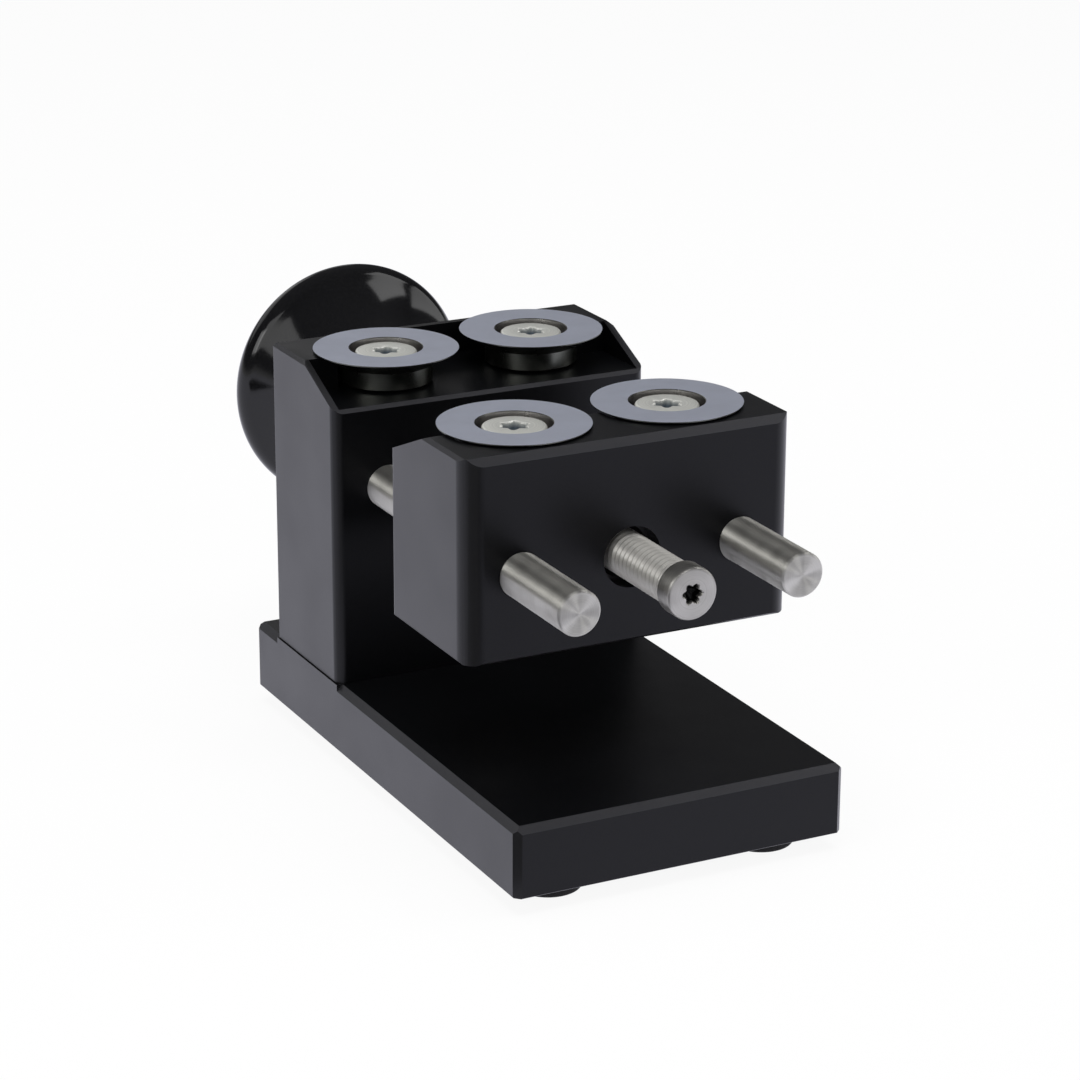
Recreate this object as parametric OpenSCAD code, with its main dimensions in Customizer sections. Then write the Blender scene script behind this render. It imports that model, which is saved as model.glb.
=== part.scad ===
/* [Base plate] */
// Width of the base plate
base_w = 47.6; // [46:0.1:60]
// Length of the base plate from front to back
base_l = 83.4; // [78:0.1:100]
// Thickness of the base plate
base_h = 9.6; // [7:0.1:14]
// Chamfer on the top and upright edges of the base plate
base_edge = 0.9; // [0.2:0.1:1.5]
// Chamfer on the lower edges of the base plate
base_low_edge = 0.1; // [0.05:0.05:0.6]

/* [Feet] */
// Diameter of a rubber foot
foot_d = 9; // [6:0.5:12]
// Height that a foot stands below the plate
foot_h = 2.4; // [0.6:0.1:4]
// Depth of the round recess that a foot is pressed into
foot_seat = 1.6; // [0.8:0.1:3]
// Rounding of a foot's lower edge
foot_round = 0.5; // [0.2:0.1:0.6]
// Distance from the plate's sides to a foot's centre
foot_inset_x = 8.2; // [7:0.1:12]
// Distance from the plate's front and back to a foot's centre
foot_inset_y = 7.4; // [7:0.1:12]

/* [Fixed jaw] */
// Step from the base plate's side in to the fixed jaw's side
fixed_step = 0.2; // [0:0.1:2]
// Thickness of the fixed jaw from front to back
fixed_t = 20.9; // [20:0.1:26]
// Height of the jaw's top above the base plate
fixed_h = 43.4; // [42:0.1:60]
// Distance from the jaw's back face to the plate's back edge
fixed_setback = 7.7; // [2:0.1:12]
// Fillet on the jaw's front vertical edges
fixed_fillet = 1.5; // [0.5:0.1:3]
// Small chamfer where the fixed jaw stands on the base plate
fixed_foot_edge = 0.1; // [0.05:0.05:0.5]
// Depth of the relief between the two rear rollers, behind their centres
relief_back = 8.8; // [7.5:0.1:9.2]

/* [Moving jaw] */
// Width of the moving jaw
moving_w = 47.2; // [46:0.1:60]
// Thickness of the moving jaw from front to back
moving_t = 22.7; // [22:0.1:28]
// Height of the moving jaw from its underside to its top
moving_h = 27.2; // [24:0.1:31]
// Opening between the two jaws as shown
jaw_gap = 17.6; // [6:0.1:24]
// Fillet on the moving jaw's front vertical edges
moving_fillet = 2.8; // [0.5:0.1:4]
// Chamfer along the front top edge of the moving jaw
moving_brow = 1; // [0.4:0.1:1.2]
// Chamfer on the lower edges of the moving jaw
moving_low_edge = 0.3; // [0.1:0.1:1]

/* [Both jaws] */
// Chamfer on the other edges of both jaws
jaw_edge = 0.5; // [0.2:0.1:0.8]
// Depth of the roller seats below the jaw tops
seat_depth = 4.4; // [3.8:0.1:6]
// Thickness of the thin walls left at the sides of the seats
seat_rim = 1; // [0.6:0.1:1.3]
// Distance from the fixed jaw's gap face back to its roller centres
fixed_roller_set = 10.5; // [9.5:0.1:11]
// Distance from the moving jaw's gap face back to its roller centres
moving_roller_set = 11.2; // [9.5:0.1:11.5]

/* [Rollers] */
// Diameter of a roller over its knife edge
roller_d = 20; // [19:0.1:20.6]
// Distance between the centres of two neighbouring rollers
roller_pitch = 22.2; // [21.6:0.1:22.8]
// Height of a roller's top above the jaw's top
roller_proud = 0.4; // [0.2:0.05:1]
// Thickness left on the knife edge
knife_land = 0.15; // [0.1:0.05:0.3]
// Angle of the cone under the knife edge
knife_angle = 28.5; // [20:0.5:35]
// Diameter of a roller's barrel under the flange
barrel_d = 12.8; // [12:0.1:14]
// Diameter of the counterbore that holds the screw head
roller_cbore_d = 10.1; // [9.6:0.1:10.8]
// Depth of the counterbore
roller_cbore = 3.6; // [3.3:0.1:3.8]
// Outer diameter of the sleeve that a roller turns on
sleeve_d = 6.6; // [6:0.1:7.4]
// Running clearance between a roller and its sleeve
roller_clear = 0.04; // [0.02:0.01:0.08]
// End play under a roller, and again under its screw head
roller_play = 0.1; // [0.05:0.01:0.2]

/* [Roller screws] */
// Thread diameter of a roller screw
rscrew_d = 5; // [4:0.5:5]
// Head diameter of a roller screw
rscrew_head_d = 8.5; // [8:0.1:9]
// Head height of a roller screw
rscrew_head = 3.1; // [2.4:0.1:3.2]
// Length of a roller screw under its head
rscrew_l = 8; // [6:0.5:8.5]
// Width of the six-lobed recess over its points
rscrew_key = 4; // [3:0.1:4.6]

/* [Guide pins] */
// Diameter of a guide pin
pin_d = 6; // [5:0.1:7]
// Distance between the two guide pins
pin_pitch = 31.6; // [29:0.1:33]
// Height of the pins and the spindle above the plate's underside
drive_z = 37.1; // [35:0.1:38]
// Reach of the pins in front of the base plate
pin_reach = 1.3; // [0:0.1:6]
// Depth of a pin's seat in the fixed jaw
pin_seat = 15; // [12:0.1:15.5]
// Chamfer on the pin ends
pin_chamfer = 0.6; // [0.2:0.1:1]
// Running clearance between a pin and the moving jaw
pin_clear = 0.05; // [0.02:0.01:0.1]

/* [Spindle] */
// Outer diameter of the spindle's thread
thread_d = 6; // [5.5:0.1:6.4]
// Pitch of the thread
thread_pitch = 1; // [0.5:0.05:1.25]
// Diameter of the shoulder that bears on the front washer
shoulder_d = 11; // [10.5:0.1:12]
// Thickness of the shoulder
shoulder_t = 3; // [2:0.1:4]
// Diameter of the journal in the bush
journal_d = 8; // [7.5:0.1:8.6]
// Diameter of the spindle's end in the knob
spigot_d = 6; // [5:0.1:6.4]
// Length of the spindle's end in the knob
spigot_l = 18; // [14:0.5:20]
// Running clearance of the journal and of the nut
spindle_clear = 0.05; // [0.02:0.01:0.1]
// End play at each thrust washer
thrust_play = 0.05; // [0.03:0.01:0.1]

/* [Bush, washers and nut] */
// Outer diameter of the bush in the fixed jaw
bush_d = 11; // [10.5:0.1:12]
// Thickness of a thrust washer
washer_t = 1; // [0.6:0.1:1.6]
// Outer diameter of the rear thrust washer
rear_washer_d = 14; // [13:0.1:16]
// Outer diameter of the nut
nut_d = 12; // [10:0.1:13]
// Length of the nut
nut_l = 14; // [10:0.5:16]
// Depth from the moving jaw's front face to the nut
nut_recess = 3; // [2:0.1:4.5]
// Diameter of the hole in front of the nut
nut_mouth_d = 8.2; // [7.8:0.1:9]

/* [End screw] */
// Head diameter of the stop screw in the spindle's end
stop_head_d = 7; // [6.8:0.1:7.4]
// Head height of the stop screw
stop_head = 2.8; // [2:0.1:3.2]
// Thread diameter of the stop screw
stop_d = 4; // [3:0.5:4]
// Length of the stop screw under its head
stop_l = 8; // [6:0.5:12]

/* [Knob] */
// Largest diameter of the knob
knob_d = 35.8; // [30:0.1:42]
// Diameter of the knob's hub
hub_d = 17; // [16:0.1:19]
// Length of the straight part of the hub
hub_l = 8.4; // [6:0.1:9]
// Radius of the hollow flare between hub and rim
flare_r = 19; // [17:0.1:22]
// Radius of the rounded rim
rim_r = 2.6; // [2:0.1:4]
// Height of the domed back over the rim's centre
crown_h = 7.6; // [6:0.1:10]
// Outer diameter of the brass insert
insert_d = 11; // [10:0.1:13]
// Length of the brass insert
insert_l = 19; // [16:0.5:22]
// Diameter of the grub screw in the hub
grub_d = 4; // [3:0.5:4]

/* [Hidden] */
$fn = 64;

// Places along the bench frame: y runs back from the plate's front edge
// and z up from the plate's underside
fixed_back = base_l - fixed_setback;
fixed_front = fixed_back - fixed_t;
fixed_w = base_w - 2 * fixed_step;
jaw_top = base_h + fixed_h;
seat_z = jaw_top - seat_depth;
moving_back = fixed_front - jaw_gap;
moving_front = moving_back - moving_t;
moving_bottom = jaw_top - moving_h;
rear_roller_y = fixed_front + fixed_roller_set;
front_roller_y = moving_back - moving_roller_set;
roller_x = roller_pitch / 2;
pin_x = pin_pitch / 2;
pin_front = -pin_reach;

// Roller and seat sizes that follow from the knife edge
roller_top = jaw_top + roller_proud;
cone_h = (roller_d - barrel_d) / 2 * tan(knife_angle);
web_top = roller_top - roller_cbore;
sleeve_l = web_top + roller_play - seat_z;
seat_gap = 0.25;
barrel_gap = 0.8;
barrel_seat_r = barrel_d / 2 + barrel_gap;
knife_seat_r = roller_d / 2 + seat_gap
    - (roller_proud - knife_land) / tan(knife_angle);
knife_seat_h = (knife_seat_r - barrel_seat_r) * tan(knife_angle);
rscrew_z = seat_z + sleeve_l;
rscrew_tail = 0.5;
roller_edge = 0.3;
sleeve_gap = 0.1;

// Stop screw and spindle places, with the shoulder just inside the fixed jaw
stop_sunk = 0.1;
spindle_front = pin_front + stop_sunk + stop_head;
shoulder_sunk = 0.15;
step_y = fixed_front + shoulder_sunk;
shoulder_back = step_y + shoulder_t;
washer_front = shoulder_back + thrust_play;
pocket_back = washer_front + washer_t;
knob_y = fixed_back + washer_t + thrust_play * 2;
nut_front = moving_front + nut_recess;

// Tangent points of the knob's flare, rim and domed back
flare_c = hub_d / 2 + flare_r;
rim_c = knob_d / 2 - rim_r;
rim_y = hub_l + sqrt(pow(flare_r + rim_r, 2) - pow(flare_c - rim_c, 2));
crown_fall = (rim_c * rim_c - pow(crown_h - rim_r, 2)) / (2 * (crown_h - rim_r));
crown_y = rim_y - crown_fall;
crown_r = crown_fall + crown_h;
knob_l = rim_y + crown_h;
bend_f = flare_r / (flare_r + rim_r);
flare_end = [flare_c + (rim_c - flare_c) * bend_f, hub_l + (rim_y - hub_l) * bend_f];

// Middle of the object's length, where the origin stands
origin_y = (pin_front + knob_y + knob_l) / 2;

// Fasteners that no dimension of the photograph sets
base_screw_d = 5;
base_screw_head_d = 10;
base_screw_x = 15;
base_screw_sunk = 0.3;
base_screw_grip = 11;
base_screw_key = 3.5;
base_screw_key_depth = 2.3;
pin_screw_d = 4;
pin_screw_head_d = 7;
pin_screw_head = 4;
pin_screw_sunk = 0.4;
pin_screw_grip = 7;
pin_screw_key = 3.46;
pin_screw_key_depth = 2;
nut_grub_l = 5;
nut_grub_bite = 1;
grub_key_depth = 1.6;
grub_sunk = 0.5;
spigot_room = 0.5;

pin_screw_y = fixed_back - pin_screw_head - pin_screw_sunk;

// Screw ends, head edges, gaps round them, and a hair for clean cuts
screw_chamfer = 0.5;
head_chamfer = 0.3;
screw_gap = 0.3;
shoulder_gap = 0.5;
washer_gap = 0.2;
drill_tip = 1;
tap_gap = 0.02;
eps = 0.01;

// Bench frame to the object's own frame: the feet stand on z zero
module bench() {
    translate([0, -origin_y, foot_h]) children();
}

// Plan outline with rounded front and back corners, from y zero backwards
module plan_outline(w, l, front_r, back_r) {
    translate([-w / 2, front_r]) square([w, l - front_r - back_r]);
    translate([-w / 2 + front_r, 0]) square([w - 2 * front_r, l]);
    translate([-w / 2 + back_r, l / 2]) square([w - 2 * back_r, l / 2]);
    for (s = [-1, 1]) {
        translate([s * (w / 2 - front_r), front_r]) circle(r = front_r);
        translate([s * (w / 2 - back_r), l - back_r]) circle(r = back_r);
    }
}

// Rectangle from y zero up with its four corners cut off
module cut_outline(w, h, low, high) {
    polygon([[-w / 2 + low, 0], [w / 2 - low, 0], [w / 2, low], [w / 2, h - high],
        [w / 2 - high, h], [-w / 2 + high, h], [-w / 2, h - high], [-w / 2, low]]);
}

// Extrudes a front view, drawn in x and z, backwards from y zero
module front_view(l) {
    translate([0, l, 0]) rotate([90, 0, 0]) linear_extrude(l) children();
}

// Extrudes a side view, drawn in y and z, across the width
module side_view(w) {
    translate([-w / 2, 0, 0]) rotate([90, 0, 90]) linear_extrude(w) children();
}

// A cylinder that runs backwards along y
module rod(d, l) {
    rotate([-90, 0, 0]) cylinder(d = d, h = l);
}

// Six-lobed key recess, cut downwards from z zero
module six_lobe(key) {
    depth = key * 0.45;
    core = key * 0.72;
    lobe = key * 0.3;
    lobe_out = (key - lobe) * 0.486;
    translate([0, 0, -depth]) linear_extrude(depth + 1) {
        circle(d = core, $fn = 24);
        for (i = [0:5]) {
            rotate(i * 60) translate([lobe_out, 0]) circle(d = lobe, $fn = 16);
        }
    }
}

// Plain screw shank that stands on its chamfered end at z zero
module shank(d, l) {
    cylinder(d1 = d - 2 * screw_chamfer, d2 = d, h = screw_chamfer);
    translate([0, 0, screw_chamfer]) cylinder(d = d, h = l - screw_chamfer);
}

// Low cylinder head screw with a six-lobed recess, seated at z zero
module lobe_screw(d, l, head_d, head, key) {
    difference() {
        union() {
            rotate_extrude() polygon([[0, 0], [head_d / 2, 0],
                [head_d / 2, head - head_chamfer],
                [head_d / 2 - head_chamfer, head], [0, head]]);
            translate([0, 0, -l]) shank(d, l);
        }
        translate([0, 0, head]) six_lobe(key);
    }
}

// Grub screw that stands on z zero with a hexagon socket in its top
module grub(d, l) {
    difference() {
        shank(d, l);
        translate([0, 0, l - grub_key_depth])
            cylinder(d = d * 0.55, h = grub_key_depth + 1, $fn = 6);
    }
}

// Solid base plate, drilled from below for the feet and the jaw's screws.
// Its top chamfer stops at the fixed jaw
module base_plate() {
    color("#141518") bench() difference() {
        union() {
            intersection() {
                linear_extrude(base_h) cut_outline(base_w, base_l, base_edge, base_edge);
                front_view(base_l) cut_outline(base_w, base_h, base_low_edge, base_edge);
                side_view(base_w) translate([base_l / 2, 0])
                    cut_outline(base_l, base_h, base_low_edge, base_edge);
            }
            translate([-base_w / 2, fixed_front, base_h / 2])
                cube([base_w, fixed_t, base_h / 2]);
        }
        at_feet() translate([0, 0, -1]) cylinder(d = foot_d, h = foot_seat + 1);
        at_base_screws() translate([0, 0, -1])
            cylinder(d = base_screw_d + 2 * screw_gap, h = base_h + 2);
        at_base_screws() base_screw_sink(base_screw_sunk);
    }
}

module at_feet() {
    for (x = [-1, 1], y = [foot_inset_y, base_l - foot_inset_y]) {
        translate([x * (base_w / 2 - foot_inset_x), y, 0]) children();
    }
}

module at_base_screws() {
    for (x = [-1, 1]) {
        translate([x * base_screw_x, (fixed_front + fixed_back) / 2, 0]) children();
    }
}

// Countersunk head that opens downwards, set in from the underside
module base_screw_sink(depth) {
    translate([0, 0, depth]) cylinder(d1 = base_screw_head_d, d2 = base_screw_d,
        h = (base_screw_head_d - base_screw_d) / 2);
    translate([0, 0, -eps]) cylinder(d = base_screw_head_d, h = depth + 2 * eps);
}

// Two countersunk screws that pull the fixed jaw down on the plate
module base_screws() {
    color("#6e6f72") bench() at_base_screws() difference() {
        union() {
            translate([0, 0, base_screw_sunk]) cylinder(d1 = base_screw_head_d,
                d2 = base_screw_d, h = (base_screw_head_d - base_screw_d) / 2);
            translate([0, 0, base_screw_sunk]) cylinder(d = base_screw_d,
                h = base_h - base_screw_sunk + base_screw_grip);
        }
        translate([0, 0, -1])
            cylinder(d = base_screw_key, h = base_screw_key_depth + 1, $fn = 6);
    }
}

// Rubber foot with a rounded lower edge, pressed into its recess
module foot(x, y) {
    color("#1b1b1b") bench()
        translate([x * (base_w / 2 - foot_inset_x), y, -foot_h]) rotate_extrude() {
            square([foot_d / 2 - foot_round, foot_h + foot_seat]);
            translate([0, foot_round])
                square([foot_d / 2, foot_h + foot_seat - foot_round]);
            translate([foot_d / 2 - foot_round, foot_round])
                circle(r = foot_round, $fn = 24);
        }
}

module foot_front_left() foot(-1, foot_inset_y);
module foot_front_right() foot(1, foot_inset_y);
module foot_rear_left() foot(-1, base_l - foot_inset_y);
module foot_rear_right() foot(1, base_l - foot_inset_y);

// Hollow for the rollers: round seats, and a wide step open to the gap.
// It is drawn round the roller centre line, with the gap towards plus y
module roller_hollow(w, set_in) {
    translate([-w / 2 + seat_rim, 0, seat_z])
        cube([w - 2 * seat_rim, set_in + 1, seat_depth + 1]);
    for (x = [-roller_x, roller_x]) translate([x, 0, 0]) {
        translate([0, 0, seat_z]) cylinder(r = barrel_seat_r, h = seat_depth + 1);
        translate([0, 0, jaw_top - knife_seat_h])
            cylinder(r1 = barrel_seat_r, r2 = knife_seat_r, h = knife_seat_h);
        translate([0, 0, jaw_top - eps]) cylinder(r = knife_seat_r, h = 1);
        translate([0, 0, rscrew_z - rscrew_l - rscrew_tail])
            cylinder(d = rscrew_d + 2 * tap_gap, h = rscrew_l + 2 * rscrew_tail);
    }
}

// Upright black jaw, almost flush with the sides of the base plate
module fixed_jaw() {
    slope = [fixed_front + jaw_edge, seat_z];
    color("#17181b") bench() difference() {
        intersection() {
            translate([0, fixed_front, base_h]) linear_extrude(fixed_h)
                plan_outline(fixed_w, fixed_t, fixed_fillet, jaw_edge);
            translate([0, fixed_front, base_h]) front_view(fixed_t)
                cut_outline(fixed_w, fixed_h, fixed_foot_edge, jaw_edge);
            side_view(fixed_w) polygon([[fixed_front, base_h], [fixed_back, base_h],
                [fixed_back, jaw_top - jaw_edge], [fixed_back - jaw_edge, jaw_top],
                [rear_roller_y, jaw_top], slope, [fixed_front, seat_z - jaw_edge]]);
        }
        translate([0, rear_roller_y, 0]) mirror([0, 1, 0])
            roller_hollow(fixed_w, fixed_roller_set);
        translate([-roller_x, rear_roller_y - 1, seat_z])
            cube([roller_pitch, relief_back + 1, seat_depth + 1]);
        for (x = [-pin_x, pin_x]) translate([x, 0, drive_z]) {
            translate([0, fixed_front - 1, 0]) rod(pin_d, pin_seat + 1);
            translate([0, fixed_front, 0]) rod(pin_screw_d + 2 * screw_gap, fixed_t + 1);
            translate([0, pin_screw_y, 0])
                rod(pin_screw_head_d + 2 * screw_gap, pin_screw_head + pin_screw_sunk + 1);
        }
        translate([0, fixed_front - 1, drive_z])
            rod(shoulder_d + 2 * shoulder_gap, pocket_back - fixed_front + 1);
        translate([0, fixed_front, drive_z]) rod(bush_d, fixed_t + 1);
        at_base_screws() translate([0, 0, base_h - 1])
            cylinder(d = base_screw_d + 2 * tap_gap, h = base_screw_grip + 1 + drill_tip);
    }
}

// Ground steel pin, tapped at the back for the screw that holds it
module guide_pin(x) {
    l = fixed_front + pin_seat - pin_front;
    color("#b9bcc0") bench() translate([x, pin_front, drive_z]) rotate([-90, 0, 0])
        difference() {
            rotate_extrude() polygon([[0, 0], [pin_d / 2 - pin_chamfer, 0],
                [pin_d / 2, pin_chamfer], [pin_d / 2, l - pin_chamfer],
                [pin_d / 2 - pin_chamfer, l], [0, l]]);
            translate([0, 0, l - pin_screw_grip - drill_tip]) cylinder(
                d = pin_screw_d + 2 * tap_gap, h = pin_screw_grip + drill_tip + 1);
        }
}

module guide_pin_left() guide_pin(-pin_x);
module guide_pin_right() guide_pin(pin_x);

// Two cap screws from behind that hold the guide pins
module pin_screws() {
    grip = pin_screw_y - fixed_front - pin_seat + pin_screw_grip;
    color("#77787b") bench() for (x = [-pin_x, pin_x])
        translate([x, pin_screw_y, drive_z]) rotate([-90, 0, 0]) difference() {
            union() {
                cylinder(d = pin_screw_head_d, h = pin_screw_head);
                translate([0, 0, -grip]) cylinder(d = pin_screw_d, h = grip + 1);
            }
            translate([0, 0, pin_screw_head - pin_screw_key_depth])
                cylinder(d = pin_screw_key, h = pin_screw_key_depth + 1, $fn = 6);
        }
}

// Bronze bush that the spindle's journal turns in
module spindle_bush() {
    color("#a9834a") bench() translate([0, pocket_back, drive_z]) difference() {
        rod(bush_d, fixed_back - pocket_back);
        translate([0, -1, 0])
            rod(journal_d + 2 * spindle_clear, fixed_back - pocket_back + 2);
    }
}

// Bronze washer between the spindle's shoulder and the fixed jaw
module front_thrust_washer() {
    color("#a9834a") bench() translate([0, washer_front, drive_z]) difference() {
        rod(shoulder_d + 2 * shoulder_gap - 2 * washer_gap, washer_t);
        translate([0, -1, 0]) rod(journal_d + 2 * spindle_clear, washer_t + 2);
    }
}

// Bronze washer between the fixed jaw's back and the knob's hub
module rear_thrust_washer() {
    color("#a9834a") bench() translate([0, fixed_back, drive_z]) difference() {
        rod(rear_washer_d, washer_t);
        translate([0, -1, 0]) rod(journal_d + 2 * spindle_clear, washer_t + 2);
    }
}

// Hardened sleeve that stands on the seat and carries a roller
module roller_sleeve(x, y) {
    color("#8c8f94") bench() translate([x, y, seat_z]) difference() {
        cylinder(d = sleeve_d, h = sleeve_l);
        translate([0, 0, -1]) cylinder(d = rscrew_d + 2 * sleeve_gap, h = sleeve_l + 2);
    }
}

module roller_sleeve_rear_left() roller_sleeve(-roller_x, rear_roller_y);
module roller_sleeve_rear_right() roller_sleeve(roller_x, rear_roller_y);
module roller_sleeve_front_left() roller_sleeve(-roller_x, front_roller_y);
module roller_sleeve_front_right() roller_sleeve(roller_x, front_roller_y);

// Knife roller: flat top, thin edge, cone beneath, barrel and counterbore
module roller(x, y) {
    r = roller_d / 2;
    bore = sleeve_d / 2 + roller_clear;
    low = seat_z + roller_play;
    edge = roller_top - knife_land;
    color("#9fa3ad") bench() translate([x, y, 0]) rotate_extrude() polygon([
        [bore, low], [barrel_d / 2 - roller_edge, low],
        [barrel_d / 2, low + roller_edge],
        [barrel_d / 2, edge - cone_h], [r, edge], [r, roller_top],
        [roller_cbore_d / 2, roller_top], [roller_cbore_d / 2, web_top],
        [bore, web_top]]);
}

module roller_rear_left() roller(-roller_x, rear_roller_y);
module roller_rear_right() roller(roller_x, rear_roller_y);
module roller_front_left() roller(-roller_x, front_roller_y);
module roller_front_right() roller(roller_x, front_roller_y);

// Zinc plated screw that clamps a sleeve and keeps its roller down
module roller_screw(x, y) {
    color("#d7d7c4") bench() translate([x, y, rscrew_z])
        lobe_screw(rscrew_d, rscrew_l, rscrew_head_d, rscrew_head, rscrew_key);
}

module roller_screw_rear_left() roller_screw(-roller_x, rear_roller_y);
module roller_screw_rear_right() roller_screw(roller_x, rear_roller_y);
module roller_screw_front_left() roller_screw(-roller_x, front_roller_y);
module roller_screw_front_right() roller_screw(roller_x, front_roller_y);

// Black jaw that slides along the guide pins
module moving_jaw() {
    slope = [moving_back - jaw_edge, seat_z];
    color("#17181b") bench() difference() {
        intersection() {
            translate([0, moving_front, moving_bottom]) linear_extrude(moving_h)
                plan_outline(moving_w, moving_t, moving_fillet, jaw_edge * 3);
            translate([0, moving_front, moving_bottom]) front_view(moving_t)
                cut_outline(moving_w, moving_h, moving_low_edge, jaw_edge);
            side_view(moving_w) polygon([[moving_front, moving_bottom + moving_low_edge],
                [moving_front + moving_low_edge, moving_bottom],
                [moving_back - moving_low_edge, moving_bottom],
                [moving_back, moving_bottom + moving_low_edge], [moving_back, seat_z - jaw_edge],
                slope, [front_roller_y, jaw_top], [moving_front + moving_brow, jaw_top],
                [moving_front, jaw_top - moving_brow]]);
        }
        translate([0, front_roller_y, 0]) roller_hollow(moving_w, moving_roller_set);
        for (x = [-pin_x, pin_x]) translate([x, moving_front - 1, drive_z])
            rod(pin_d + 2 * pin_clear, moving_t + 2);
        translate([0, moving_front - 1, drive_z]) rod(nut_mouth_d, moving_t + 2);
        translate([0, nut_front, drive_z]) rod(nut_d, moving_t);
        translate([0, nut_front + nut_l / 2, moving_bottom - 1])
            cylinder(d = grub_d + 2 * tap_gap, h = drive_z - moving_bottom + 1);
    }
}

// Bronze nut in the moving jaw, driven by the spindle
module spindle_nut() {
    color("#1b1b1d") bench() translate([0, nut_front, drive_z]) difference() {
        rod(nut_d, nut_l);
        translate([0, -1, 0]) rod(thread_d + 2 * spindle_clear, nut_l + 2);
        translate([0, nut_l / 2, -nut_d / 2 - 1])
            cylinder(d = grub_d + 2 * tap_gap, h = nut_grub_bite + 1);
    }
}

// Grub screw from below that keeps the nut from turning or sliding
module nut_grub_screw() {
    color("#3a3b3d") bench()
        translate([0, nut_front + nut_l / 2, drive_z - nut_d / 2 + nut_grub_bite - tap_gap])
            mirror([0, 0, 1]) grub(grub_d, nut_grub_l);
}

// Threaded spindle with its shoulder, journal and knob seat
module spindle() {
    r = thread_d / 2;
    undercut = thread_pitch * 0.7;
    lead_in = thread_pitch * 0.5;
    spigot_end = knob_y + spigot_l;
    color("#b9bcc0") bench() translate([0, 0, drive_z]) rotate([-90, 0, 0]) difference() {
        rotate_extrude() polygon([[0, spindle_front], [r - lead_in, spindle_front],
            [r, spindle_front + lead_in], [r, step_y - thread_pitch * 2],
            [r - undercut, step_y - thread_pitch * 2 + undercut],
            [r - undercut, step_y], [shoulder_d / 2 - head_chamfer, step_y],
            [shoulder_d / 2, step_y + head_chamfer], [shoulder_d / 2, shoulder_back],
            [journal_d / 2, shoulder_back], [journal_d / 2, knob_y],
            [spigot_d / 2, knob_y], [spigot_d / 2, spigot_end - screw_chamfer],
            [spigot_d / 2 - screw_chamfer, spigot_end], [0, spigot_end]]);
        translate([0, 0, spindle_front - 1])
            cylinder(d = stop_d + 2 * tap_gap, h = stop_l + 1 + drill_tip);
    }
}

// Screw in the spindle's front end that stops the jaw from running off
module end_screw() {
    color("#c3c5c8") bench() translate([0, spindle_front, drive_z]) rotate([90, 0, 0])
        lobe_screw(stop_d, stop_l, stop_head_d, stop_head, stop_head_d * 0.52);
}

// Black moulded knob: hub, hollow flare, round rim and domed back
module knob() {
    color("#0e0e10") bench() translate([0, knob_y, drive_z]) rotate([-90, 0, 0])
        difference() {
            rotate_extrude($fn = 128) intersection() {
                square([knob_d, knob_l + 1]);
                union() {
                    square([hub_d / 2, rim_y]);
                    difference() {
                        translate([0, hub_l]) square([flare_end[0], flare_end[1] - hub_l]);
                        translate([flare_c, hub_l]) circle(r = flare_r, $fn = 128);
                    }
                    translate([0, flare_end[1] - eps])
                        square([rim_c, rim_y - flare_end[1] + 2 * eps]);
                    translate([rim_c, rim_y]) circle(r = rim_r);
                    intersection() {
                        translate([0, crown_y]) circle(r = crown_r, $fn = 128);
                        translate([0, rim_y]) square([rim_c * crown_r / (crown_r - rim_r),
                            crown_h]);
                    }
                }
            }
            translate([0, 0, -1]) cylinder(d = insert_d, h = insert_l + 1);
            translate([0, 0, hub_l / 2]) rotate([90, 0, 0])
                cylinder(d = grub_d + screw_gap, h = hub_d);
        }
}

// Brass insert moulded into the knob's hub
module knob_insert() {
    color("#b08d4a") bench() translate([0, knob_y, drive_z]) rotate([-90, 0, 0])
        difference() {
            cylinder(d = insert_d, h = insert_l);
            translate([0, 0, -1])
                cylinder(d = spigot_d + 2 * tap_gap, h = spigot_l + 1 + spigot_room);
            translate([0, 0, hub_l / 2]) rotate([90, 0, 0])
                cylinder(d = grub_d + 2 * tap_gap, h = insert_d);
        }
}

// Grub screw that locks the knob's insert on the spindle
module knob_grub_screw() {
    color("#3a3b3d") bench()
        translate([0, knob_y + hub_l / 2, drive_z + spigot_d / 2 + tap_gap])
            grub(grub_d, hub_d / 2 - spigot_d / 2 - grub_sunk);
}

base_plate();
base_screws();
foot_front_left();
foot_front_right();
foot_rear_left();
foot_rear_right();
fixed_jaw();
guide_pin_left();
guide_pin_right();
pin_screws();
spindle_bush();
front_thrust_washer();
rear_thrust_washer();
roller_sleeve_rear_left();
roller_sleeve_rear_right();
roller_rear_left();
roller_rear_right();
roller_screw_rear_left();
roller_screw_rear_right();
moving_jaw();
spindle_nut();
nut_grub_screw();
roller_sleeve_front_left();
roller_sleeve_front_right();
roller_front_left();
roller_front_right();
roller_screw_front_left();
roller_screw_front_right();
spindle();
end_screw();
knob();
knob_insert();
knob_grub_screw();
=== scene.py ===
import math

import bmesh
import bpy
from mathutils import Matrix, Vector


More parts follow.
